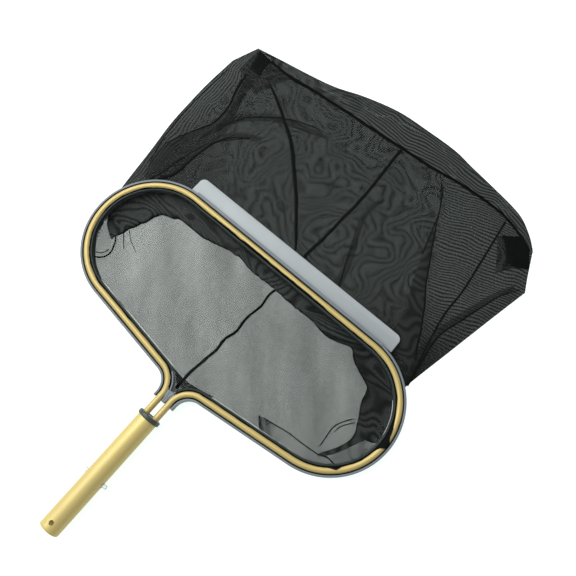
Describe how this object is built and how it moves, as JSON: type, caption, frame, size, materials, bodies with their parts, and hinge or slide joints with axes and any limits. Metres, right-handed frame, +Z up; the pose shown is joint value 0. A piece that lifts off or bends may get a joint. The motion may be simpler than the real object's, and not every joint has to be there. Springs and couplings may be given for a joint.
{
  "type": "leaf skimmer net",
  "caption": "Deep mesh bag on a flat aluminium hoop with a scoop lip and a tubular handle whose spring buttons lock into a pool pole.",
  "frame": {"origin": "on the surface that the net lies on, under the middle of its overall length and width", "axes": "+X across the hoop to the right seen from the handle, +Y from the handle towards the bag, +Z up out of the hoop's mouth"},
  "size_m": [0.5628, 0.753, 0.0335],
  "materials": {
    "gold_anodised_aluminium": "satin gold anodised",
    "dark_grey_plastic": "moulded, satin",
    "blue_grey_plastic": "extruded, satin",
    "light_grey_plastic": "moulded, satin",
    "clear_white_plastic": "translucent white",
    "black_mesh": "open woven mesh",
    "black_seam_tape": "woven tape",
    "stainless_steel": "plain"
  },
  "bodies": {
    "net": {"handle_tube": "gold_anodised_aluminium", "handle_plug": "dark_grey_plastic", "leg_cross_pin": "stainless_steel", "plug_rivet": "stainless_steel", "clip_bend": "clear_white_plastic", "frame_tube": "gold_anodised_aluminium", "rim_channel": "blue_grey_plastic", "scoop_lip": "light_grey_plastic", "bag_hem_band": "black_seam_tape", "bag_rear_mesh": "black_mesh", "bag_front_mesh": "black_mesh", "bag_side_mesh_left": "black_mesh", "bag_side_mesh_right": "black_mesh", "bag_bottom_band": "black_mesh", "bottom_seam_rear": "black_seam_tape", "bottom_seam_front": "black_seam_tape", "rear_seam_tape": "black_seam_tape", "side_seam_tape_left": "black_seam_tape", "side_seam_tape_right": "black_seam_tape", "corner_patch_left": "black_mesh", "corner_patch_right": "black_mesh"},
    "clip_left": {"clip_arm_left": "clear_white_plastic"},
    "clip_right": {"clip_arm_right": "clear_white_plastic"}
  },
  "joints": [
    {"name": "button_left", "type": "hinge", "parent": "net", "child": "clip_left", "pos_m": [-0.0024, -0.2505, 0.017], "axis": [0, 0, 1], "range_deg": [0, 8], "stiffness_Nm_per_rad": 2},
    {"name": "button_right", "type": "hinge", "parent": "net", "child": "clip_right", "pos_m": [0.0024, -0.2505, 0.017], "axis": [0, 0, -1], "range_deg": [0, 8], "stiffness_Nm_per_rad": 2}
  ]
}
